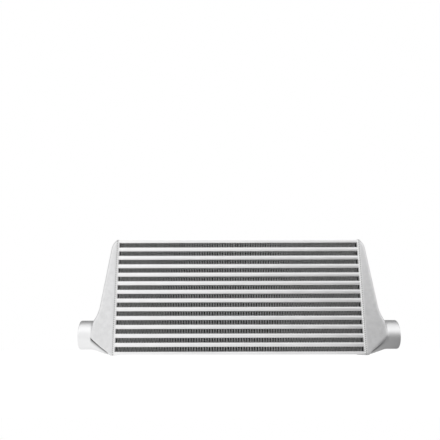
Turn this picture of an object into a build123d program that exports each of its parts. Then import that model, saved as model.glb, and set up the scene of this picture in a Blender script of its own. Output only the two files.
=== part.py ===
from build123d import *
from math import radians, sqrt, tan
import os

# Bar-and-plate intercooler, in millimetres. X runs along the core, Y through it and Z up.
# The origin is the middle of the box that holds the whole part, at its lowest level.

# Core
fin_row_length = 595.0  # length of a row of outer fins, between its header bars
core_depth = 76.0
tube_count = 12
fin_height = 11.2
bar_height = 8.8  # a closing bar, between the two sheets of its tube
bar_depth = 8.0
bar_chamfer = 0.8
sheet_thickness = 0.6
header_bar_width = 7.5
side_plate_thickness = 7.2
side_plate_chamfer = 1.2

# Corrugated sheets
fin_pitch = 26.0
fin_sheet = 0.4
fin_recess = 1.0  # fins stand back from the faces of the closing bars
turbulator_pitch = 15.0
turbulator_sheet = 0.3

# End tanks: widths run outwards from the core's end, heights run up from the tank's underside
rim_overhang = 2.0  # the tank's rim stands this far beyond the core all round
tank_wall = 4.0
tank_edge_chamfer = 3.5
chin_start = 10.0
chin_angle = 43.0
chin_radius = 14.0
outlet_reach = 55.0
outlet_corner_radius = 12.0
flare_step = 3.5
flare_drop = 4.5
flare_straight = 2.2  # straight run left between the outlet's upper corner and the arc at the waist
waist_width = 39.0
waist_height = 99.0
flank_lean = 8.7
shoulder_slope = 38.0
shoulder_radius = 34.0
mouth_overrun = 16.0

# Hose spigot and the neck that carries it
spigot_diameter = 70.0
spigot_wall = 3.5
spigot_length = 31.0
spigot_underside = 15.0
spigot_chamfer = 1.0
neck_stand = 1.0  # the neck ends this far beyond the tank's outlet face
neck_root = 3.0  # the neck starts this far into the tank,
neck_root_setback = 1.5  # this much inside its front and back faces
neck_root_lift = 0.7  # and this much above its underside
neck_bulge_reach = 19.0  # the neck falls slowly over this length from its root,
neck_bulge_fall = 2.5  # by this much, and faster from there

# Weld
weld_width = 5.5
weld_toe_chamfer = 1.4

# Worked out from the sizes above
core_half_length = fin_row_length / 2 + header_bar_width
tube_height = bar_height + 2 * sheet_thickness
fin_row_count = tube_count + 1
core_height = fin_row_count * fin_height + tube_count * tube_height + 2 * side_plate_thickness
tank_height = core_height + 2 * rim_overhang
tank_depth = core_depth + 2 * rim_overhang
core_bottom = rim_overhang
core_middle = core_bottom + core_height / 2
spigot_radius = spigot_diameter / 2
spigot_axis_z = spigot_underside + spigot_radius
neck_end_x = core_half_length + outlet_reach + neck_stand
spigot_end_x = neck_end_x + spigot_length

on_base = (Align.CENTER, Align.CENTER, Align.MIN)


def corrugation(length, height, pitch, sheet):
    """A folded strip seen end on: a zigzag whose crests just reach the given height."""
    folds = 2 * max(1, round(length / pitch))
    run = length / folds
    # The rise of the middle line follows from height = rise + sheet * sqrt(run^2 + rise^2) / run.
    a = run**2 - sheet**2
    rise = (height * run**2 - run * sheet * sqrt(run**2 + height**2 - sheet**2)) / a
    half_sheet = (height - rise) / 2
    middle = [(-length / 2 + i * run, rise / 2 * (-1) ** i) for i in range(folds + 1)]
    upper = [(x, y + half_sheet) for x, y in middle]
    lower = [(x, y - half_sheet) for x, y in reversed(middle)]
    return make_face(Polyline(*upper, *lower, close=True))


def fin_row(z):
    """Outer fins: folds side by side along X, open from front to back."""
    strip = corrugation(fin_row_length, fin_height, fin_pitch, fin_sheet)
    fins = extrude(Plane.XZ * strip, amount=core_depth / 2 - fin_recess, both=True)
    return Pos(0, 0, z + fin_height / 2) * fins


def turbulator(z):
    """Inner fins: folds side by side across the tube, open from end to end."""
    width = core_depth - 2 * bar_depth
    face = Plane.YZ * corrugation(width, bar_height, turbulator_pitch, turbulator_sheet)
    fins = extrude(face, amount=fin_row_length / 2, both=True)
    return Pos(0, 0, z + tube_height / 2) * fins


def parting_sheets(z):
    """The flat sheets above and below one tube."""
    levels = (z, z + tube_height - sheet_thickness)
    sheet = Box(2 * core_half_length, core_depth, sheet_thickness, align=on_base)
    return [Pos(0, 0, level) * sheet for level in levels]


def closing_bars(z):
    """The bars that close the front and back of one tube, with broken outer edges."""
    bar = Box(2 * core_half_length, bar_depth, bar_height)
    outer = bar.faces().sort_by(Axis.Y)[0].edges().filter_by(Axis.X)
    front = Pos(0, (bar_depth - core_depth) / 2, z + tube_height / 2) * chamfer(outer, bar_chamfer)
    return [front, front.mirror(Plane.XZ)]


def header_bars(fin_levels):
    """The short bars that close one end of every fin row."""
    bar = Box(header_bar_width, core_depth, fin_height, align=(Align.MAX, Align.CENTER, Align.MIN))
    return [Pos(core_half_length, 0, z) * bar for z in fin_levels]


def side_plate(z, outer_face):
    """The plate along the top or bottom of the core, with its two long outer edges broken."""
    plate = Box(2 * core_half_length, core_depth, side_plate_thickness, align=on_base)
    edges = plate.faces().sort_by(Axis.Z)[outer_face].edges().filter_by(Axis.X)
    return Pos(0, 0, z) * chamfer(edges, side_plate_chamfer)


def flare_radius(outlet_low, outlet_high):
    """The largest arc at the waist that leaves flare_straight below it."""
    outlet_face = Vector(*outlet_high) - Vector(*outlet_low)
    flare = Vector(waist_width, waist_height) - Vector(*outlet_high)
    flank = Vector(-tan(radians(flank_lean)), 1)
    outlet_tangent = outlet_corner_radius * tan(radians(flare.get_angle(outlet_face) / 2))
    room = flare.length - outlet_tangent - flare_straight
    return room / tan(radians(flare.get_angle(flank) / 2))


def tank_outline():
    """The tank seen from the front: chin, outlet, flare, leaning flank and sloping shoulder.

    The outline runs on past the rim by mouth_overrun, and what is made from it is cut off at the core.
    """
    lean = tan(radians(flank_lean))
    slope = tan(radians(shoulder_slope))
    outlet_low = (outlet_reach, (outlet_reach - chin_start) * tan(radians(chin_angle)))
    outlet_high = (outlet_reach - flare_step, spigot_axis_z + spigot_radius - flare_drop)
    shoulder_width = (waist_width - (tank_height - waist_height) * lean) / (1 - slope * lean)
    shoulder = (shoulder_width, tank_height - shoulder_width * slope)
    corners = [(chin_start, 0), outlet_low, outlet_high, (waist_width, waist_height), shoulder]
    waist_radius = flare_radius(outlet_low, outlet_high)
    radii = [chin_radius, outlet_corner_radius, outlet_corner_radius, waist_radius, shoulder_radius]
    start = (-mouth_overrun, 0)
    end = (-mouth_overrun, tank_height + mouth_overrun * slope)
    path = FilletPolyline(start, *corners, end, radius=radii)
    return Pos(core_half_length, 0, 0) * (Plane.XZ * make_face(path + Line(end, start)))


def outlet(neck_root_radius, radius, end_x, half_width):
    """The turned shape of the neck and spigot, or of their bore, cut to the tank's width."""
    root_x = core_half_length + neck_root
    bulge = (root_x + neck_bulge_reach, neck_root_radius - neck_bulge_fall)
    outer = [(root_x, neck_root_radius), bulge, (neck_end_x, radius), (end_x, radius)]
    profile = Polyline((root_x, 0), *outer, (end_x, 0), close=True)
    turned = Pos(0, 0, spigot_axis_z) * revolve(make_face(profile), Axis.X)
    return turned & Box(2 * end_x, 2 * half_width, 2 * tank_height)


def tank():
    """The right-hand end tank, one hollow casting with its spigot."""
    mouth = Plane.YZ.offset(core_half_length)
    body = extrude(tank_outline(), amount=tank_depth / 2, both=True)
    front, back = body.faces().sort_by(Axis.Y)[0], body.faces().sort_by(Axis.Y)[-1]
    body = chamfer((front.edges() + back.edges()).sort_by(Axis.X)[2:], tank_edge_chamfer)
    root_radius = spigot_axis_z - neck_root_lift
    spigot = outlet(root_radius, spigot_radius, spigot_end_x, tank_depth / 2 - neck_root_setback)
    spigot = chamfer(spigot.edges().sort_by(Axis.X)[-1], spigot_chamfer)
    inner_half = tank_depth / 2 - tank_wall
    cavity = extrude(offset(tank_outline(), -tank_wall), amount=inner_half, both=True)
    bore = outlet(root_radius - tank_wall, spigot_radius - spigot_wall, spigot_end_x, inner_half)
    return split(body + spigot - cavity - bore, bisect_by=mouth, keep=Keep.TOP)


def weld_bead():
    """The fillet weld on the step between the core and the right-hand tank's rim."""
    plane = Plane(origin=(core_half_length, 0, core_middle), x_dir=(0, 1, 0), z_dir=(-1, 0, 0))
    rim = Rectangle(tank_depth, tank_height)
    bead = extrude(plane * chamfer(rim.vertices(), tank_edge_chamfer), amount=weld_width)
    bead = chamfer(bead.faces().sort_by(Axis.X)[0].edges(), weld_toe_chamfer)
    return bead - Pos(0, 0, core_middle) * Box(2 * core_half_length, core_depth, core_height)


def nodes():
    """Every piece by name. Rows and tubes are numbered from the top."""
    pieces = {}
    row_pitch = fin_height + tube_height
    first_row = core_bottom + core_height - side_plate_thickness - fin_height
    fin_levels = [first_row - i * row_pitch for i in range(fin_row_count)]
    tube_levels = [first_row - tube_height - i * row_pitch for i in range(tube_count)]
    for i, z in enumerate(fin_levels, 1):
        pieces[f"fin_row_{i:02d}"] = [fin_row(z)]
    for i, z in enumerate(tube_levels, 1):
        pieces[f"turbulator_{i:02d}"] = [turbulator(z)]
        pieces[f"parting_sheets_{i:02d}"] = parting_sheets(z)
        pieces[f"closing_bars_{i:02d}"] = closing_bars(z)
    pieces["header_bars_right"] = header_bars(fin_levels)
    pieces["side_plate_top"] = [side_plate(core_bottom + core_height - side_plate_thickness, -1)]
    pieces["side_plate_bottom"] = [side_plate(core_bottom, 0)]
    pieces["tank_right"] = [tank()]
    pieces["weld_bead_right"] = [weld_bead()]
    for name in ("header_bars", "tank", "weld_bead"):
        pieces[f"{name}_left"] = [piece.mirror(Plane.YZ) for piece in pieces[f"{name}_right"]]
    return pieces


os.makedirs("parts", exist_ok=True)
for name, solids in nodes().items():
    shape = solids[0] if len(solids) == 1 else Compound(children=solids)
    export_step(shape, f"parts/{name}.step")
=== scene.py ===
"""Dresses a bar-and-plate intercooler: fine fins, bars, plates, weld beads and cast end tanks."""

import logging
from dataclasses import dataclass, field
from enum import Enum
from math import pi, radians

import bpy
import numpy as np
from mathutils import Matrix, Vector


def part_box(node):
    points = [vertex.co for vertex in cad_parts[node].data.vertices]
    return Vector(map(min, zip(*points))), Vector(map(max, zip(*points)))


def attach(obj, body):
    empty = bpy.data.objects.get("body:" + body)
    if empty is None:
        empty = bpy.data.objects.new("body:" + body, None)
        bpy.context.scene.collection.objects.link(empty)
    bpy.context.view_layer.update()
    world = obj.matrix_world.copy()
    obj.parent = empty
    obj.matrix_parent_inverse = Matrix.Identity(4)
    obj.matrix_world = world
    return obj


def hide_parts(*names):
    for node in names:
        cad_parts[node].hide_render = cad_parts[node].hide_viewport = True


log = logging.getLogger("intercooler")
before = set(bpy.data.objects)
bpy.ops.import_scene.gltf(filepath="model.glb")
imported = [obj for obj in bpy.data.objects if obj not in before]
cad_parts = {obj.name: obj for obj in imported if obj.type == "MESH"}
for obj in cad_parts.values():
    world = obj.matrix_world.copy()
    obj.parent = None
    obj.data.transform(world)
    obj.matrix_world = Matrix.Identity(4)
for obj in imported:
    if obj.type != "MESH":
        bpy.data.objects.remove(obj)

MM = 0.001
BODY = "root"
TUBES = 12
ROWS = TUBES + 1


class Side(Enum):
    """The two ends of the core, with the way that each points along X."""

    LEFT = ("left", -1.0)
    RIGHT = ("right", 1.0)

    @property
    def word(self) -> str:
        """The side's word in a node's name."""
        return self.value[0]

    @property
    def way(self) -> float:
        """-1 to the left and 1 to the right."""
        return self.value[1]


class Level(Enum):
    """The two long edges of the core, by the word in a node's name."""

    TOP = "top"
    BOTTOM = "bottom"


# Meshes


def box_corners(node: str) -> tuple[np.ndarray, np.ndarray]:
    """The low and the high corner of a node's box."""
    low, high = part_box(node)
    return np.array(low), np.array(high)


def grid_quads(rows: int, columns: int, close_rows: bool = False,
               close_columns: bool = False) -> np.ndarray:
    """Corner numbers of the quads between the points of a grid, numbered row by row.

    Args:
        rows: Points down the grid.
        columns: Points across the grid.
        close_rows: Whether the last row joins the first.
        close_columns: Whether the last column joins the first.

    Returns:
        One row of four point numbers for each quad.
    """
    down = np.arange(rows if close_rows else rows - 1)[:, None]
    across = np.arange(columns if close_columns else columns - 1)[None]
    below, beside = (down + 1) % rows, (across + 1) % columns
    first, second = down * columns + across, below * columns + across
    third, fourth = below * columns + beside, down * columns + beside
    return np.stack([first, second, third, fourth], -1).reshape(-1, 4)


def smooth(mesh: bpy.types.Mesh) -> None:
    """Shades every face of a mesh smooth."""
    mesh.polygons.foreach_set("use_smooth", np.ones(len(mesh.polygons), bool))


def mark_points(mesh: bpy.types.Mesh, name: str, values: np.ndarray) -> None:
    """Gives each point of a mesh a value that a finish reads by its name."""
    mesh.attributes.new(name, "FLOAT", "POINT").data.foreach_set("value", values.ravel())


def mesh_object(name: str, points: np.ndarray, faces: list,
                sharp_angle: float = 35.0) -> bpy.types.Object:
    """Makes a mesh object at the origin, smooth but for the edges that are sharper than an angle.

    Args:
        name: The object's name.
        points: One row of x, y and z for each point, in metres.
        faces: The point numbers of each face.
        sharp_angle: The least angle between two faces that stays a hard edge, in degrees.

    Returns:
        The new object, linked to the scene.
    """
    mesh = bpy.data.meshes.new(name)
    mesh.from_pydata(points.tolist(), [], faces)
    mesh.validate()
    smooth(mesh)
    mesh.set_sharp_from_angle(angle=radians(sharp_angle))
    mesh.update()
    piece = bpy.data.objects.new(name, mesh)
    bpy.context.scene.collection.objects.link(piece)
    return piece


def place(piece: bpy.types.Object, material: bpy.types.Material, slot: str,
          *nodes: str) -> bpy.types.Object:
    """Dresses a finished piece and lets it stand for its nodes on the body.

    Args:
        piece: The finished piece.
        material: Its finish.
        slot: A material slot's name; not used.
        *nodes: The nodes that it stands for.

    Returns:
        The same piece.
    """
    piece.data.materials.clear()
    piece.data.materials.append(material)
    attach(piece, BODY)
    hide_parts(*nodes)
    log.info("%s: %d faces", piece.name, len(piece.data.polygons))
    return piece


def dress_node(node: str, material: bpy.types.Material) -> None:
    """Gives a node that keeps its own shape its finish.

    Args:
        node: The node's name.
        material: Its finish.
    """
    for material_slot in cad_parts[node].material_slots:
        material_slot.material = material
    log.info("%s: own shape", node)


def carried_section(section: np.ndarray, stations: np.ndarray) -> tuple[np.ndarray, list]:
    """A closed section carried along X, with a flat cap on each end.

    Args:
        section: One row of y and z for each point, anticlockwise when seen from +X, the same for every
            ring or with rows of its own for each.
        stations: The x of each ring, from low to high.

    Returns:
        The points, ring by ring, and the faces.
    """
    count, rings = section.shape[-2], len(stations)
    points = np.empty((rings, count, 3))
    points[:, :, 0] = stations[:, None]
    points[:, :, 1:] = section
    quads = grid_quads(rings, count, close_columns=True)[:, ::-1].tolist()
    caps = [list(range(count))[::-1], list(range((rings - 1) * count, rings * count))]
    return points.reshape(-1, 3), quads + caps


def rounded_rectangle(width: float, height: float, radius: float, steps: int = 4) -> np.ndarray:
    """A rectangle about the origin with quarter-circle corners, anticlockwise.

    Each corner's arc turns through a right angle about a centre one radius inside both sides.

    Args:
        width: Its size along the first axis.
        height: Its size along the second axis.
        radius: The radius of its corners.
        steps: The straight steps in each corner.

    Returns:
        One row of two coordinates for each point.
    """
    turn = np.arange(4)[:, None] * pi / 2 + np.linspace(0, pi / 2, steps + 1)[None]
    centre = np.array([[1, 1], [-1, 1], [-1, -1], [1, -1]]) * (width / 2 - radius, height / 2 - radius)
    arcs = centre[:, None] + radius * np.stack([np.cos(turn), np.sin(turn)], -1)
    return arcs.reshape(-1, 2)


# Node trees

Socket = bpy.types.NodeSocket
Stops = tuple[tuple[float, float], ...]
WHITE = (1.0, 1.0, 1.0, 1.0)


class Graph:
    """The node tree of a material or of the world, built up from nothing."""

    def __init__(self, owner: bpy.types.Material | bpy.types.World) -> None:
        """Turns the owner's nodes on and empties its tree.

        Args:
            owner: The material or the world that the tree belongs to.
        """
        owner.use_nodes = True
        self.nodes, self.links = owner.node_tree.nodes, owner.node_tree.links
        self.nodes.clear()

    def feed(self, socket: Socket, value: object) -> None:
        """Links a socket to another one's value, or sets it to a plain value.

        Args:
            socket: The socket that takes the value.
            value: The socket that gives it, or the value itself.
        """
        if isinstance(value, Socket):
            self.links.new(value, socket)
        else:
            socket.default_value = value

    def add(self, kind: str, *ordered: object, **named: object) -> bpy.types.Node:
        """Adds a shader node and feeds its sockets.

        Args:
            kind: The node's type, without the words that every shader node's type starts with.
            *ordered: What goes into its sockets from the first one on.
            **named: What goes into its sockets by name, with underscores for spaces.

        Returns:
            The new node.
        """
        node = self.nodes.new(f"ShaderNode{kind}")
        for socket, value in zip(node.inputs, ordered):
            self.feed(socket, value)
        for name, value in named.items():
            self.feed(node.inputs[name.replace("_", " ")], value)
        return node

    def math(self, operation: str, *values: object) -> Socket:
        """The result of one operation on one or two values.

        Args:
            operation: The operation's name.
            *values: Its values, each a socket or a number.

        Returns:
            The socket that gives the result.
        """
        node = self.add("Math", *values)
        node.operation = operation
        return node.outputs["Value"]

    def mixed(self, share: Socket, first: object, second: object, kind: str = "FLOAT") -> Socket:
        """The first value where the share is 0, running to the second where it is 1.

        Args:
            share: The share of the second value.
            first: A socket or a plain value.
            second: Another one.
            kind: What is mixed, numbers or colours.

        Returns:
            The socket that gives the mix.
        """
        node = self.add("Mix")
        node.data_type = kind
        for name, value in (("Factor", share), ("A", first), ("B", second)):
            self.feed(node.inputs[name], value)
        return node.outputs["Result"]

    def graded(self, where: Socket, axis: str, stops: Stops) -> Socket:
        """A value that runs smoothly from stop to stop along one axis.

        Args:
            where: The place or direction.
            axis: The axis's letter.
            stops: Each place along the axis with its value, from low to high.

        Returns:
            The socket that gives the value.
        """
        first, last = stops[0][0], stops[-1][0]
        along = self.add("SeparateXYZ", where).outputs[axis]
        share = self.add("MapRange", Value=along, From_Min=first, From_Max=last).outputs["Result"]
        node = self.add("ValToRGB", share)
        ramp = node.color_ramp
        ramp.interpolation = "EASE"
        for spot, _ in stops[1:-1]:
            ramp.elements.new((spot - first) / (last - first))
        for stop, (_, value) in zip(ramp.elements, stops):
            stop.color = (value, value, value, 1)
        return node.outputs["Color"]

    def by_ray(self, camera: float, glossy: Socket, other: float) -> Socket:
        """A strength by the kind of ray.

        Args:
            camera: The strength that the camera sees, also through glass.
            glossy: The strength that a reflection sees.
            other: The strength that lights the object.

        Returns:
            The socket that gives the strength.
        """
        rays = self.add("LightPath").outputs
        direct = self.math("MAXIMUM", rays["Is Camera Ray"], rays["Is Transmission Ray"])
        indirect = self.mixed(rays["Is Glossy Ray"], other, glossy)
        return self.mixed(direct, indirect, camera)


# Finishes

PATCH_NOISE = {"Detail": 4.0, "Roughness": 0.6}
GRAIN_NOISE = {"Detail": 3.0, "Roughness": 0.65}


@dataclass(frozen=True)
class Metal:
    """Bare aluminium with a grain that follows the way it was made.

    The grain is noise in the object's own coordinates, stretched along X by rolling or left even by
    casting. It moves the colour and the roughness a little, and a finer noise makes the bump.

    Attributes:
        name: The material's name.
        color: The metal's linear colour.
        roughness: How far the surface scatters its reflection.
        mottle: How far the colour swings to each side, as a share of itself.
        patch: The size of the mottled patches, in millimetres.
        grain: The size of the bump's grain, in millimetres.
        depth: The height of the bump, in millimetres.
        stretch: How many times longer the grain is along X than across it.
        gloss_swing: How far the roughness swings to each side.
        tint_range: The patches' noise at which the colour is darkest, and at which it is brightest.
    """

    name: str
    color: tuple[float, float, float]
    roughness: float
    mottle: float
    patch: float
    grain: float
    depth: float
    stretch: float = 1.0
    gloss_swing: float = 0.06
    tint_range: tuple[float, float] = (0.3, 0.7)

    def material(self) -> bpy.types.Material:
        """Builds the finish.

        Returns:
            The node material.
        """
        material = bpy.data.materials.new(self.name)
        graph = Graph(material)
        where = graph.add("TexCoord").outputs["Object"]
        along = graph.add("Mapping", where, Scale=(1 / self.stretch, 1, 1)).outputs["Vector"]
        patches = graph.add("TexNoise", along, Scale=1 / (self.patch * MM), **PATCH_NOISE).outputs["Fac"]
        grains = graph.add("TexNoise", along, Scale=1 / (self.grain * MM), **GRAIN_NOISE).outputs["Fac"]
        tint = graph.add("ValToRGB", patches)
        ends = (1 - self.mottle, 1 + self.mottle)
        for stop, position, share in zip(tint.color_ramp.elements, self.tint_range, ends):
            stop.position = position
            stop.color = (*(min(1, part * share) for part in self.color), 1)
        low, high = self.roughness - self.gloss_swing, self.roughness + self.gloss_swing
        gloss = graph.add("MapRange", patches, To_Min=low, To_Max=high).outputs["Result"]
        bump = graph.add("Bump", Strength=1.0, Distance=self.depth * MM, Height=grains).outputs["Normal"]
        color = self.tone(graph, tint.outputs["Color"])
        surface = graph.add("BsdfPrincipled", color, Metallic=1.0, Roughness=gloss, Normal=bump)
        graph.add("OutputMaterial", surface.outputs["BSDF"])
        return material

    def tone(self, graph: Graph, color: Socket) -> Socket:
        """The finish's colour as it is, for a plain metal."""
        return color


@dataclass(frozen=True)
class CastMetal(Metal):
    """Cast aluminium, brighter where it is turned and darkened in a recess by painted shade, by the
    mesh's own attributes.

    Attributes:
        turned: The linear colour of the turned neck and spigot.
        painted_shade: The linear colour painted into a recess as shade.
    """

    turned: tuple[float, float, float] = (0.9, 0.9, 0.905)
    # Painted shade: a near-black colour laid into the marked recess.
    painted_shade: tuple[float, float, float] = (0.06, 0.06, 0.06)

    def tone(self, graph: Graph, color: Socket) -> Socket:
        """Mixes the turned colour in by the attribute turned, and then the painted shade by recess.

        Args:
            graph: The material's nodes.
            color: The cast metal's colour.

        Returns:
            The mixed colour.
        """
        # The recess mark mixes in the painted shade.
        for name, other in (("turned", self.turned), ("recess", self.painted_shade)):
            mark = graph.add("Attribute")
            mark.attribute_name = name
            color = graph.mixed(mark.outputs["Fac"], color, (*other, 1), "RGBA")
        return color


@dataclass(frozen=True)
class FinMetal(Metal):
    """Fin sheet darkened with depth: painted shade for the core's shadowed inside.

    Attributes:
        deep_shade: The linear colour of the painted shade well inside the core.
        depths: How far from the core's middle the painted shade is full, and how far it has given way to
            the bright sheet, in millimetres.
    """

    # Painted shade: the sheet turns near black well inside the core.
    deep_shade: tuple[float, float, float] = (0.1, 0.1, 0.1)
    depths: tuple[float, float] = (20.0, 34.0)

    def tone(self, graph: Graph, color: Socket) -> Socket:
        """Mixes the deep colour in as painted shade, by the distance from the core's middle along Y.

        Args:
            graph: The material's nodes.
            color: The bright sheet's colour.

        Returns:
            The mixed colour.
        """
        where = graph.add("TexCoord").outputs["Object"]
        away = graph.math("ABSOLUTE", graph.add("SeparateXYZ", where).outputs["Y"])
        full_shade, bright = (depth * MM for depth in self.depths)
        share = graph.add("MapRange", away, From_Min=full_shade, From_Max=bright).outputs["Result"]
        return graph.mixed(share, (*self.deep_shade, 1), color, "RGBA")


# The tanks take the default near-black painted shade in their crease.
CAST = CastMetal("sand_cast_aluminium", (0.8, 0.8, 0.805), 0.43, 0.05, 9.0, 0.9, 0.09)
BRAZED = Metal("brazed_bar_aluminium", (0.96, 0.96, 0.96), 0.35, 0.04, 5.0, 0.5, 0.03, 6.0)
ROLLED = Metal("rolled_plate_aluminium", (0.96, 0.96, 0.96), 0.4, 0.04, 8.0, 0.4, 0.02, 12.0)
SHEET = Metal("parting_sheet_aluminium", (0.85, 0.85, 0.85), 0.45, 0.05, 6.0, 0.5, 0.02, 8.0)
# The fins and turbulators darken to painted shade deep inside the core.
FIN = FinMetal("folded_fin_aluminium", (0.9, 0.9, 0.9), 0.45, 0.04, 12.0, 0.6, 0.02)
# The weld bead's hollows take a lighter painted shade.
BEAD = CastMetal("weld_bead_aluminium", (0.9, 0.9, 0.9), 0.35, 0.06, 3.0, 0.5, 0.03, painted_shade=(0.2, 0.2, 0.2))
# Header bars darkened to 0.4: painted shade at the fin rows' ends, where the weld bead shades them.
SHADED_HEADER_BAR = Metal("shade_darkened_header_bar", (0.4, 0.4, 0.4), 0.5, 0.1, 4.0, 0.5, 0.03)


# Core


@dataclass
class FinRow:
    """One row of outer fins: a thin sheet folded side by side, with herringbone waves through the core.

    Attributes:
        number: The row's number from the top.
        pitch: The length of one fold.
        sheet: The sheet's thickness.
        crest: The share of a fold that lies flat against each parting sheet.
        uneven: How much longer the lower crest is, and the upper one shorter, in the uneven stretch.
        stretch: Where the uneven stretch starts to fade in, and where it has faded out, along the row.
        fade: The length over which it fades.
        runs: The straight runs of the herringbone from front to back.
        swing: How far each corner of the herringbone lies to the side, well inside the core.
        swing_depth: How far inside the core the swing has grown to its full size.
        end_gap: The room between the last fold and the header bar.
    """

    number: int
    pitch: float = 6.4 * MM
    sheet: float = 0.4 * MM
    crest: float = 0.39
    uneven: float = 0.18
    stretch: tuple[float, float] = (-220 * MM, 140 * MM)
    fade: float = 60 * MM
    runs: int = 7
    swing: float = 2.6 * MM
    swing_depth: float = 26 * MM
    end_gap: float = 0.5 * MM

    def build(self) -> bpy.types.Object:
        """Builds the sheet's two skins, half a thickness each side of a middle surface.

        The middle surface's x runs evenly along the row and swings to each side in turn from front to
        back. The swing grows evenly from nothing at the faces to its full size at its depth, and from
        nothing at the row's ends over twice its own size. The height steps between the two levels by way
        of steep flanks, four points to a fold.

        Returns:
            The fin row's object.
        """
        low, high = box_corners(f"fin_row_{self.number:02d}")
        first, last = low[0] + self.end_gap + self.sheet, high[0] - self.end_gap - self.sheet
        folds = round((last - first) / self.pitch)
        pitch = (last - first) / folds
        start = first + pitch * np.arange(folds)
        into = np.minimum(start - self.stretch[0], self.stretch[1] - start) / self.fade
        uneven = self.uneven * np.clip(into, 0, 1)
        flank = np.full(folds, 0.5 - self.crest)
        lengths = np.stack([flank / 2, self.crest + uneven, flank, self.crest - uneven], 1)
        x = (start[:, None] + np.cumsum(lengths, 1) * pitch).ravel()
        level = np.tile([-1.0, -1.0, 1.0, 1.0], folds)
        z = (low[2] + high[2]) / 2 + level * (high[2] - low[2] - self.sheet) / 2
        y = np.linspace(low[1], high[1], self.runs + 1)
        inside = np.minimum(y - low[1], high[1] - y)
        side = self.swing * np.clip(inside / self.swing_depth, 0, 1) * (-1) ** np.arange(self.runs + 1)
        room = np.clip(np.minimum(x - first, last - x) / (2 * self.swing), 0, 1)
        swung = x[None] + side[:, None] * room[None]
        middle = np.stack(np.broadcast_arrays(swung, y[:, None], z[None]), -1)
        across = np.gradient(np.stack([x, z], -1), axis=0)
        across /= np.linalg.norm(across, axis=1)[:, None]
        normal = np.stack([-across[:, 1], np.zeros(len(x)), across[:, 0]], -1) * self.sheet / 2
        skins = np.stack([middle + normal, middle - normal]).reshape(-1, 3)
        return mesh_object(f"fins_{self.number:02d}", skins, self.skin_faces(*middle.shape[:2]))

    @staticmethod
    def skin_faces(rows: int, columns: int) -> list:
        """Faces of the two skins, and of the strips that join their borders.

        Args:
            rows: Points from front to back.
            columns: Points along the row.

        Returns:
            The point numbers of each face, with the second skin's points after the first's.
        """
        upper = grid_quads(rows, columns)[:, ::-1]
        size = rows * columns
        number = np.arange(size).reshape(rows, columns)
        border = np.concatenate([number[0], number[1:, -1], number[-1, -2::-1], number[-2:0:-1, 0]])
        following = np.roll(border, -1)
        strip = np.stack([border, following, following + size, border + size], -1)[:, ::-1]
        return np.concatenate([upper, upper[:, ::-1] + size, strip]).tolist()

    def dress(self, material: bpy.types.Material) -> bpy.types.Object:
        """Builds the row and lets it stand for its node."""
        return place(self.build(), material, "fin_sheet", f"fin_row_{self.number:02d}")


@dataclass
class Tube:
    """One tube: its two sheets, its turbulator, and the round-nosed bars that close its front and back.

    Attributes:
        number: The tube's number from the top.
        bar_depth: The size of a bar from front to back.
        nose: How far a bar's face is rounded back at its top and bottom.
        nose_power: How round the nose is: 1 for a half-ellipse, and less for a flatter face.
        nose_steps: The straight steps in the nose.
    """

    number: int
    bar_depth: float = 8 * MM
    nose: float = 1.1 * MM
    nose_power: float = 0.7
    nose_steps: int = 16

    def build(self) -> bpy.types.Object:
        """Builds both bars, each a section with a flat back and a rounded nose, carried along X.

        The nose is half a super-ellipse: its height and its depth follow the sine and the cosine of an
        even turn, each to the nose's power.

        Returns:
            The object of the front and back bars.
        """
        low, high = box_corners(f"closing_bars_{self.number:02d}")
        half_height = (high[2] - low[2]) / 2
        turn = np.linspace(-pi / 2, pi / 2, self.nose_steps + 1)
        back = self.nose * (1 - np.cos(turn) ** self.nose_power)
        rise = half_height * np.sign(turn) * np.abs(np.sin(turn)) ** self.nose_power
        arc = np.stack([high[1] - back, (low[2] + high[2]) / 2 + rise], -1)
        back_y = high[1] - self.bar_depth
        section = np.concatenate([[(back_y, high[2]), (back_y, low[2])], arc])
        points, faces = carried_section(section, np.array([low[0], high[0]]))
        both = np.concatenate([points, points * (1, -1, 1)])
        other = [[i + len(points) for i in face[::-1]] for face in faces]
        return mesh_object(f"bars_{self.number:02d}", both, faces + other)

    def dress(self, bars: bpy.types.Material, sheets: bpy.types.Material,
              fins: bpy.types.Material) -> bpy.types.Object:
        """Builds the bars, and finishes the sheets and the turbulator that lie between them.

        Args:
            bars: The bars' finish.
            sheets: The parting sheets' finish.
            fins: The turbulator's finish.

        Returns:
            The object of the front and back bars.
        """
        dress_node(f"parting_sheets_{self.number:02d}", sheets)
        dress_node(f"turbulator_{self.number:02d}", fins)
        return place(self.build(), bars, "core_bars", f"closing_bars_{self.number:02d}")


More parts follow.
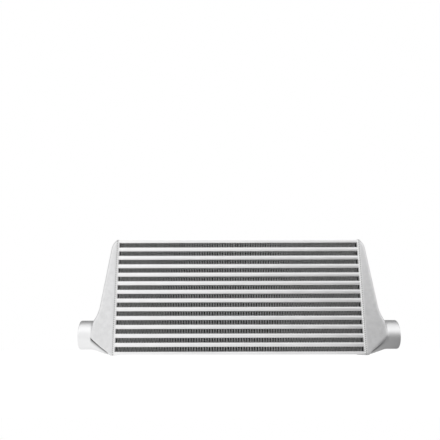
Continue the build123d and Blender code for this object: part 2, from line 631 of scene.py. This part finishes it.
@dataclass
class HeaderBars:
    """The short bars that close one end of the fin rows, with rounded edges.

    Attributes:
        side: The end of the core that they close.
        radius: The radius of their long edges.
        end_share: How far their ends are set in and back, as a share of the radius.
    """

    side: Side
    radius: float = 0.6 * MM
    end_share: float = 0.5

    def build(self) -> bpy.types.Object:
        """Builds one bar at each fin row, a rounded rectangle of x and z carried along Y.

        The bar is first carried along X, and its first two coordinates then change places, which turns
        its faces over.

        Returns:
            The object of all the bars on this side.
        """
        low, high = box_corners(f"header_bars_{self.side.word}")
        rows = [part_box(f"fin_row_{number:02d}") for number in range(1, ROWS + 1)]
        width, height = high[0] - low[0], rows[0][1][2] - rows[0][0][2]
        inset = self.end_share * self.radius
        section = rounded_rectangle(width, height, self.radius)
        inner = rounded_rectangle(width - 2 * inset, height - 2 * inset, self.radius - inset)
        stations = np.array([low[1], low[1] + inset, high[1] - inset, high[1]])
        points, faces = carried_section(np.stack([inner, section, section, inner]), stations)
        bar = points[:, [1, 0, 2]] + ((low[0] + high[0]) / 2, 0, 0)
        levels = np.array([(row[0][2] + row[1][2]) / 2 for row in rows])
        points = bar[None] + levels[:, None, None] * (0, 0, 1)
        every = [[i + row * len(bar) for i in face[::-1]] for row in range(ROWS) for face in faces]
        return mesh_object(f"header_{self.side.word}", points.reshape(-1, 3), every)

    def dress(self, material: bpy.types.Material) -> bpy.types.Object:
        """Builds the bars and lets them stand for their node."""
        return place(self.build(), material, "core_bars", f"header_bars_{self.side.word}")


@dataclass
class SidePlate:
    """The plate along the top or the bottom of the core, with its four long edges rounded.

    Attributes:
        level: Whether it is the top plate or the bottom one.
        radius: The radius of its long edges.
        steps: The straight steps in each edge.
    """

    level: Level
    radius: float = 1.2 * MM
    steps: int = 6

    def build(self) -> bpy.types.Object:
        """Builds the plate, a rounded rectangle of y and z carried along X.

        Returns:
            The plate's object.
        """
        low, high = box_corners(f"side_plate_{self.level.value}")
        size, middle = high - low, (high + low) / 2
        section = rounded_rectangle(size[1], size[2], self.radius, self.steps) + middle[1:]
        points, faces = carried_section(section, np.array([low[0], high[0]]))
        return mesh_object(f"plate_{self.level.value}", points, faces)

    def dress(self, material: bpy.types.Material) -> bpy.types.Object:
        """Builds the plate and lets it stand for its node."""
        return place(self.build(), material, "side_plate", f"side_plate_{self.level.value}")


# Ends


@dataclass
class WeldBead:
    """The rippled weld round the step between the core and one tank's rim.

    Attributes:
        side: The end of the core that it goes round.
        ripple: The length of one ripple.
        ripple_steps: The rings in each ripple.
        round_steps: The points over the bead's face.
        lag: How far a ripple's middle trails behind its edges, as a share of a turn.
        dip: The depth of the hollow between two ripples, as a share of the bead's rise.
        dip_growth: The power by which the dip grows from the core's face to the rim's edge.
        narrowing: How much of the dip also draws the bead's foot back along the core.
        roundness: The power of the face's super-ellipse, 1 for an ellipse and less for a squarer one.
        painted_shade_power: The power by which the painted shade in the hollows gathers at the rim's edge
            alone.
        edge_radius: The radius of the rim's corners.
        rise: How far the rim stands beyond the core.
        root: How far the bead's underside lies below the rim, as a share of the rise.
        lap: How far the bead runs on past the rim's edge, and how far below the rim's face.
        sharp_angle: The least angle between two faces that stays a hard edge, in degrees.
    """

    side: Side
    ripple: float = 4.6 * MM
    ripple_steps: int = 8
    round_steps: int = 6
    lag: float = 0.35
    dip: float = 0.45
    dip_growth: float = 0.5
    narrowing: float = 0.6
    roundness: float = 0.8
    painted_shade_power: float = 6.0
    edge_radius: float = 6 * MM
    rise: float = 2 * MM
    root: float = 1.3
    lap: tuple[float, float] = (0.4 * MM, 0.1 * MM)
    sharp_angle: float = 80.0

    def build(self) -> bpy.types.Object:
        """Builds the bead as a ring of sections.

        Each ring stands on a rectangle inside the rim's round corners, square to it. Its face is a
        quarter of a super-ellipse, from the core's face to the rim's edge. The ripple is a cosine along
        the way round, later in the middle of the face than at its edges. It pulls the face in, most at
        the rim's edge, where the hollows between ripples are also darkened with painted shade. Three more
        points close each ring: two on the rim, at its face and below it, and one below the bead's foot.

        Returns:
            The bead's object.
        """
        low, high = box_corners(f"weld_bead_{self.side.word}")
        way, feet, outward = self.route(high[1] - low[1], high[2] - low[2])
        face = np.linspace(0, pi / 2, self.round_steps + 1)
        reach, lift = np.cos(face) ** self.roundness, np.sin(face) ** self.roundness
        trail = self.lag * 2 * pi * np.sin(2 * face)
        wave = 0.5 + 0.5 * np.cos(2 * pi * way[:, None] / self.ripple + trail[None])
        pull = self.dip * wave * np.sin(face) ** self.dip_growth
        width = high[0] - low[0]
        over, under = self.lap
        sunk = self.edge_radius - self.root * self.rise
        away = np.empty((len(way), len(face) + 3))
        away[:, :len(face)] = width * reach * (1 - self.narrowing * pull)
        away[:, len(face):] = (-over, -over, width)
        beyond = np.empty(away.shape)
        beyond[:, :len(face)] = self.edge_radius - self.rise + self.rise * lift * (1 - pull)
        beyond[:, len(face):] = (self.edge_radius - under, sunk, sunk)
        joint = high[0] if self.side is Side.RIGHT else low[0]
        points = np.empty((*away.shape, 3))
        points[:, :, 0] = joint - self.side.way * away
        points[:, :, 1:] = feet[:, None] + outward[:, None] * beyond[:, :, None]
        points[:, :, 1:] += ((high + low) / 2)[1:]
        quads = grid_quads(*away.shape, close_rows=True, close_columns=True)
        quads = (quads if self.side is Side.RIGHT else quads[:, ::-1]).tolist()
        name = f"bead_{self.side.word}"
        piece = mesh_object(name, points.reshape(-1, 3), quads, self.sharp_angle)
        # Painted shade in the hollows between ripples, most at the rim's edge, carried by the recess
        # mark.
        recess = np.zeros(away.shape)
        recess[:, :len(face)] = wave * np.sin(face) ** self.painted_shade_power
        mark_points(piece.data, "recess", recess)
        return piece

    def route(self, depth: float, height: float) -> tuple[np.ndarray, np.ndarray, np.ndarray]:
        """The way round the rim at even steps.

        Args:
            depth: The rim's size along Y.
            height: The rim's size along Z.

        Returns:
            The distance along the rim, the foot of each ring on the inner rectangle, and its outward
            direction.
        """
        inner = np.array([depth, height]) / 2 - self.edge_radius
        corner = self.edge_radius * pi / 2
        sides = np.array([2 * inner[1], corner, 2 * inner[0], corner] * 2)
        ends = np.concatenate([[0], np.cumsum(sides)])
        ripples = round(ends[-1] / self.ripple)
        way = np.linspace(0, ends[-1], ripples * self.ripple_steps, endpoint=False)
        signs = np.array([[1, -1], [1, 1], [-1, 1], [-1, -1], [1, -1]])
        stop = np.arange(len(ends))
        corners = signs[(stop + 1) // 2] * inner
        feet = np.stack([np.interp(way, ends, corners[:, k]) for k in (0, 1)], -1)
        turn = np.interp(way, ends, stop // 2 * pi / 2)
        outward = np.stack([np.cos(turn), np.sin(turn)], -1)
        return way * ripples * self.ripple / ends[-1], feet, outward

    def dress(self, material: bpy.types.Material) -> bpy.types.Object:
        """Builds the bead and lets it stand for its node."""
        return place(self.build(), material, "weld", f"weld_bead_{self.side.word}")


@dataclass
class Tank:
    """One cast end tank with its turned neck and spigot, its corners softened as a sand casting's are.

    Attributes:
        side: The end of the core that it closes.
        merge: The gap that is closed before its surface is drawn over.
        voxel: The size of the cells that its surface is drawn over.
        rounds: How many times the surface is evened out.
        pace: The share of the way to its neighbours' mean that a point moves in one round, at the most.
        face_share: How far the flat faces and their edges are evened, from 0 to 1.
        outlet_share: How far the blend of the tank's face into the neck is evened.
        outlet_band: How far that blend reaches from the neck's end, inwards and outwards.
        fine_share: How far the neck's crease and the spigot are evened.
        rim: How far from the core's end the surface stays exact.
        axis: The height of the spigot's axis.
        reaches: Places along the neck, outwards from the core's end.
        radii: The neck's radius at each of them.
        turned_reach: How far from the neck and from the front and back faces the turned finish stops.
        step: The width of the soft step where one kind of surface gives way to another.
        chin: Where the chin's line starts, outwards from the core's end and up from the tank's underside.
        chin_angle: How steeply the line rises, in degrees.
        chin_room: How far the chin stays whole each side of the tank's middle.
        crease: The crease's width below the chin, at its foot and at the outlet.
        crease_depth: How deep the crease is.
        crease_rise: The share of the chin's line over which the crease fades in.
        crease_fade: The shares of the chin's line between which each side's crease fades out.
        crease_least: The least crease that is evened as finely as the spigot, as a share of its depth.
    """

    side: Side
    merge: float = 0.01 * MM
    voxel: float = 1.1 * MM
    rounds: int = 40
    pace: float = 0.5
    face_share: float = 0.6
    outlet_share: float = 1.0
    outlet_band: tuple[float, float] = (12 * MM, 3 * MM)
    fine_share: float = 0.15
    rim: float = 2 * MM
    axis: float = 50 * MM
    reaches: tuple[float, ...] = (3 * MM, 22 * MM, 56 * MM, 87 * MM)
    radii: tuple[float, ...] = (49.3 * MM, 46.8 * MM, 35 * MM, 35 * MM)
    turned_reach: float = 1.2 * MM
    step: float = 1 * MM
    chin: tuple[float, float] = (11 * MM, 4 * MM)
    chin_angle: float = 40.0
    chin_room: float = 8 * MM
    crease: tuple[float, float] = (2.4 * MM, 4.8 * MM)
    crease_depth: float = 1.6 * MM
    crease_rise: float = 0.1
    crease_fade: dict[Side, tuple[float, float]] = field(
        default_factory=lambda: {Side.LEFT: (0.94, 1.02), Side.RIGHT: (0.45, 0.9)})
    crease_least: float = 0.02

    def build(self) -> bpy.types.Object:
        """Draws a fine mesh over the tank's solid, evens it out and cuts the crease.

        Returns:
            The casting's object.
        """
        piece = self.cells()
        mesh = piece.data
        points = np.empty(len(mesh.vertices) * 3)
        mesh.vertices.foreach_get("co", points)
        points = self.cut(points.reshape(-1, 3))
        edges = np.empty(len(mesh.edges) * 2, int)
        mesh.edges.foreach_get("vertices", edges)
        points = self.evened(points, edges.reshape(-1, 2), self.share(points))
        recess, turned = self.recess(points), self.on_neck(points)
        hub = points * (1, 0, 0) + (0, 0, self.axis)
        inward = hub - points
        inward /= np.linalg.norm(inward, axis=1)[:, None]
        points += inward * (recess * self.crease_depth)[:, None]
        mesh.vertices.foreach_set("co", points.ravel())
        # The crease's share also darkens the casting there through the finish: painted shade in the
        # crease.
        mark_points(mesh, "recess", recess)
        mark_points(mesh, "turned", turned)
        smooth(mesh)
        mesh.update()
        return piece

    def cells(self) -> bpy.types.Object:
        """A merged copy of the tank's solid, drawn over with even cells.

        Returns:
            The new object, linked to the scene.
        """
        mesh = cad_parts[f"tank_{self.side.word}"].data.copy()
        piece = bpy.data.objects.new(f"casting_{self.side.word}", mesh)
        bpy.context.scene.collection.objects.link(piece)
        merge = piece.modifiers.new("merge", "WELD")
        merge.merge_threshold = self.merge
        cells = piece.modifiers.new("cells", "REMESH")
        cells.mode = "VOXEL"
        cells.voxel_size = self.voxel
        graph = bpy.context.evaluated_depsgraph_get()
        drawn = bpy.data.meshes.new_from_object(piece.evaluated_get(graph))
        piece.modifiers.clear()
        piece.data = drawn
        drawn.name = piece.name
        return piece

    @property
    def neck_end(self) -> float:
        """How far outwards from the core's end the neck gives way to the spigot."""
        return self.reaches[2]

    def outwards(self, points: np.ndarray) -> np.ndarray:
        """How far each point lies outwards from the core's end."""
        low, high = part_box(f"tank_{self.side.word}")
        return self.side.way * points[:, 0] - min(abs(low[0]), abs(high[0]))

    def neck_radius(self, points: np.ndarray) -> tuple[np.ndarray, np.ndarray]:
        """Each point's distance from the spigot's axis, and the neck's radius there."""
        radius = np.hypot(points[:, 1], points[:, 2] - self.axis)
        return radius, np.interp(self.outwards(points), self.reaches, self.radii)

    def on_neck(self, points: np.ndarray) -> np.ndarray:
        """Where the surface is turned, with a soft step to the cast faces.

        Args:
            points: One row of x, y and z for each point.

        Returns:
            1 for each point on the turned neck and spigot, and 0 on the cast faces.
        """
        radius, neck = self.neck_radius(points)
        depth = np.abs(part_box(f"tank_{self.side.word}")[0][1])
        near_neck = np.clip((neck + self.turned_reach - radius) / self.step, 0, 1)
        off_faces = np.clip((depth - self.turned_reach - np.abs(points[:, 1])) / self.step, 0, 1)
        return near_neck * off_faces * (self.outwards(points) > self.reaches[0])

    def below_chin(self, points: np.ndarray) -> tuple[np.ndarray, np.ndarray]:
        """How each point lies to the chin's line.

        The line rises from the chin's foot at the chin's angle, and ends at the outlet.

        Args:
            points: One row of x, y and z for each point.

        Returns:
            How far each point lies below the line, and its share of the way along it.
        """
        slope = radians(self.chin_angle)
        out, up = self.outwards(points) - self.chin[0], points[:, 2] - self.chin[1]
        share = out / (self.neck_end - self.chin[0])
        return out * np.sin(slope) - up * np.cos(slope), share

    def cut(self, points: np.ndarray) -> np.ndarray:
        """Draws what stands out below the chin's line in to the neck, straight towards the spigot's axis.

        Args:
            points: One row of x, y and z for each point.

        Returns:
            The moved points.
        """
        below, along = self.below_chin(points)
        radius, neck = self.neck_radius(points)
        beside_chin = (below > 0) & (along > 0) & (along < 1) & (np.abs(points[:, 1]) > self.chin_room)
        scale = np.where(beside_chin & (radius > neck), neck / radius, 1)
        hub = np.array([0, 0, self.axis])
        return points * (1, 0, 0) + (points - hub) * (0, 1, 1) * scale[:, None] + hub

    def recess(self, points: np.ndarray) -> np.ndarray:
        """The crease between the chin and the neck: 1 at its line, falling as a bell below it.

        The bell's width grows from the chin's foot to the outlet, and it ends one step above the line.
        Only the neck's own surface has it: it is whole within half a step of that surface, and fades
        out over the next step.

        Args:
            points: One row of x, y and z for each point.

        Returns:
            Each point's share of the crease's depth and of its painted shade.
        """
        below, along = self.below_chin(points)
        width = self.crease[0] + (self.crease[1] - self.crease[0]) * np.clip(along, 0, 1)
        radius, neck = self.neck_radius(points)
        on_neck = np.clip(1.5 - np.abs(radius - neck) / self.step, 0, 1)
        bell = np.exp(-((below / width) ** 2)) * (below > -self.step)
        ends = np.interp(along, (0, self.crease_rise, *self.crease_fade[self.side]), (0, 1, 1, 0))
        return bell * on_neck * ends

    def share(self, points: np.ndarray) -> np.ndarray:
        """How far each point is evened: little on the spigot and the crease, none at the rim.

        Args:
            points: One row of x, y and z for each point.

        Returns:
            Each point's share of the pace.
        """
        out = self.outwards(points)
        band_start, band_end = self.neck_end - self.outlet_band[0], self.neck_end + self.outlet_band[1]
        share = np.full(len(points), self.face_share)
        share[(out > band_start) & (out < band_end)] = self.outlet_share
        share[(out > band_end) | (self.recess(points) > self.crease_least)] = self.fine_share
        share[out < self.rim] = 0
        return share

    def evened(self, points: np.ndarray, edges: np.ndarray, share: np.ndarray) -> np.ndarray:
        """Moves each point towards the mean of its neighbours, round after round.

        Args:
            points: One row of x, y and z for each point.
            edges: The two point numbers of each edge.
            share: Each point's share of the pace.

        Returns:
            The moved points.
        """
        here, there = np.concatenate([edges, edges[:, ::-1]]).T
        count = np.bincount(here, minlength=len(points))[:, None]
        for _ in range(self.rounds):
            sums = [np.bincount(here, values[there], len(points)) for values in points.T]
            mean = np.stack(sums, -1) / count
            points = points + self.pace * share[:, None] * (mean - points)
        return points

    def dress(self, material: bpy.types.Material) -> bpy.types.Object:
        """Builds the casting and lets it stand for its node."""
        return place(self.build(), material, "cast_tank", f"tank_{self.side.word}")


# Studio


@dataclass(frozen=True)
class Lamp:
    """A square soft lamp.

    Attributes:
        name: Its name.
        spot: Its place, in metres.
        size: Its side, in metres.
        power: Its power, in watts.
    """

    name: str
    spot: tuple[float, float, float]
    size: float
    power: float

    def hang(self, aim: tuple[float, float, float]) -> None:
        """Hangs the lamp.

        Args:
            aim: The place that it faces, in metres.
        """
        light = bpy.data.lights.new(self.name, "AREA")
        light.size = self.size
        light.energy = self.power
        hung = bpy.data.objects.new(self.name, light)
        turn = (Vector(self.spot) - Vector(aim)).to_track_quat("Z", "Y").to_matrix().to_4x4()
        hung.matrix_world = Matrix.Translation(self.spot) @ turn
        bpy.context.scene.collection.objects.link(hung)


@dataclass
class Studio:
    """A white floor under a soft even light, and the camera.

    Attributes:
        eye: The camera's place, in metres.
        pitch: How far the camera looks up, in degrees.
        roll: How far it leans, in degrees.
        sensor: The width of its sensor, in millimetres.
        focal: Its focal length, in millimetres.
        floor_half: Half the floor's side, in metres.
        floor_paper: The share of light that the floor's paper gives back.
        floor_glow: What the camera sees of the floor beyond its lit paper.
        backdrop: What the camera sees of the room.
        ambient: The world's light on the object.
        room: What a reflection sees in front of the object near the horizon, by the direction's X.
        ceiling: What it sees there higher up, by the direction's X.
        heights: Where the room gives way to the ceiling, by the direction's Z.
        rear: What it sees behind the object, by the direction's Z.
        turning: Where the front gives way to the rear, by the direction's Y.
        overhead: The share of all that which is left overhead, by the direction's Z.
        floor_sheen: What a reflection sees of the floor, by the place's X in metres.
        lamps: The soft lamps.
        aim: The place that they face, in metres.
    """

    eye: tuple[float, float, float] = (-0.0458, -1.3234, 0.0124)
    pitch: float = 14.065
    roll: float = -0.12
    sensor: float = 36.0
    focal: float = 42.545
    floor_half: float = 12.0
    floor_paper: float = 0.8
    floor_glow: float = 0.75
    backdrop: float = 1.0
    ambient: float = 0.4
    room: Stops = ((-0.35, 0.9), (0.3, 0.26), (0.45, 0.34), (0.8, 1.0))
    ceiling: Stops = ((-0.35, 1.2), (0.35, 1.15), (0.8, 1.1))
    heights: Stops = ((0.0, 0.0), (0.4, 1.0))
    rear: Stops = ((0.0, 1.0), (0.3, 0.3))
    turning: Stops = ((-0.1, 0.0), (0.3, 1.0))
    overhead: Stops = ((0.4, 1.0), (0.85, 0.65))
    floor_sheen: Stops = ((-0.3, 1.0), (0.2, 0.8), (0.42, 0.28))
    lamps: tuple[Lamp, ...] = (
        Lamp("key", (-1.1, -1.3, 2.0), 1.5, 3.0),
        Lamp("fill", (1.6, -1.0, 1.6), 1.6, 2.5),
        Lamp("top", (0.0, 0.2, 2.2), 1.8, 3.0),
    )
    aim: tuple[float, float, float] = (0.0, 0.0, 0.14)

    def build(self) -> None:
        """Sets up the floor, the world, the lamps and the camera."""
        self.floor()
        self.world()
        for lamp in self.lamps:
            lamp.hang(self.aim)
        self.camera()
        bpy.context.scene.view_settings.view_transform = "Standard"

    def floor(self) -> None:
        """Lays a white floor that keeps the object's shadow.

        The camera sees a glow added to the lit paper, and a reflection sees less of it towards +X.
        """
        corners = np.array([[-1, -1, 0], [1, -1, 0], [1, 1, 0], [-1, 1, 0]]) * self.floor_half
        plane = mesh_object("floor", corners, [[0, 1, 2, 3]])
        material = bpy.data.materials.new("white_floor")
        graph = Graph(material)
        rays = graph.add("LightPath").outputs
        grey = (self.floor_paper, self.floor_paper, self.floor_paper, 1)
        paper = graph.add("BsdfDiffuse", grey).outputs["BSDF"]
        lift = graph.math("MULTIPLY", rays["Is Camera Ray"], self.floor_glow)
        glow = graph.add("Emission", WHITE, lift).outputs["Emission"]
        graded = graph.graded(graph.add("TexCoord").outputs["Object"], "X", self.floor_sheen)
        sheen = graph.add("Emission", WHITE, graded).outputs["Emission"]
        lit = graph.add("AddShader", paper, glow).outputs["Shader"]
        seen = graph.add("MixShader", rays["Is Glossy Ray"], lit, sheen).outputs["Shader"]
        graph.add("OutputMaterial", seen)
        plane.data.materials.append(material)

    def world(self) -> None:
        """Lights the room evenly. The camera sees white, and a reflection sees the graded room round it.

        The room's strength is worked out from the ray's direction by its X in front of the object, low
        down and higher up, by its Z behind the object, and less of it is left overhead.
        """
        world = bpy.data.worlds.new("studio")
        bpy.context.scene.world = world
        graph = Graph(world)
        way = graph.add("TexCoord").outputs["Generated"]
        low = graph.graded(way, "X", self.room)
        high = graph.graded(way, "X", self.ceiling)
        ahead = graph.mixed(graph.graded(way, "Z", self.heights), low, high)
        behind = graph.graded(way, "Z", self.rear)
        around = graph.mixed(graph.graded(way, "Y", self.turning), ahead, behind)
        seen = graph.math("MULTIPLY", around, graph.graded(way, "Z", self.overhead))
        strength = graph.by_ray(self.backdrop, seen, self.ambient)
        air = graph.add("Background", WHITE, strength)
        graph.add("OutputWorld", air.outputs["Background"])

    def camera(self) -> None:
        """Sets the camera a little above the floor, looking up along Y."""
        lens = bpy.data.cameras.new("camera")
        lens.sensor_width = self.sensor
        lens.lens = self.focal
        view = bpy.data.objects.new("camera", lens)
        look_up = Matrix.Rotation(radians(90 + self.pitch), 4, "X")
        lean = Matrix.Rotation(radians(self.roll), 4, "Z")
        view.matrix_world = Matrix.Translation(self.eye) @ look_up @ lean
        bpy.context.scene.collection.objects.link(view)
        bpy.context.scene.camera = view


def main() -> None:
    """Builds and dresses every piece in order."""
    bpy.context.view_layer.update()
    cast, brazed, rolled, sheet = (finish.material() for finish in (CAST, BRAZED, ROLLED, SHEET))
    fin, bead, shaded_header = (finish.material() for finish in (FIN, BEAD, SHADED_HEADER_BAR))
    for number in range(1, ROWS + 1):
        FinRow(number).dress(fin)
    for number in range(1, TUBES + 1):
        Tube(number).dress(brazed, sheet, fin)
    for level in Level:
        SidePlate(level).dress(rolled)
    for side in Side:
        HeaderBars(side).dress(shaded_header)
        WeldBead(side).dress(bead)
        Tank(side).dress(cast)
    Studio().build()


if __name__ == "__main__":
    logging.basicConfig(level=logging.INFO, format="%(message)s")
    main()
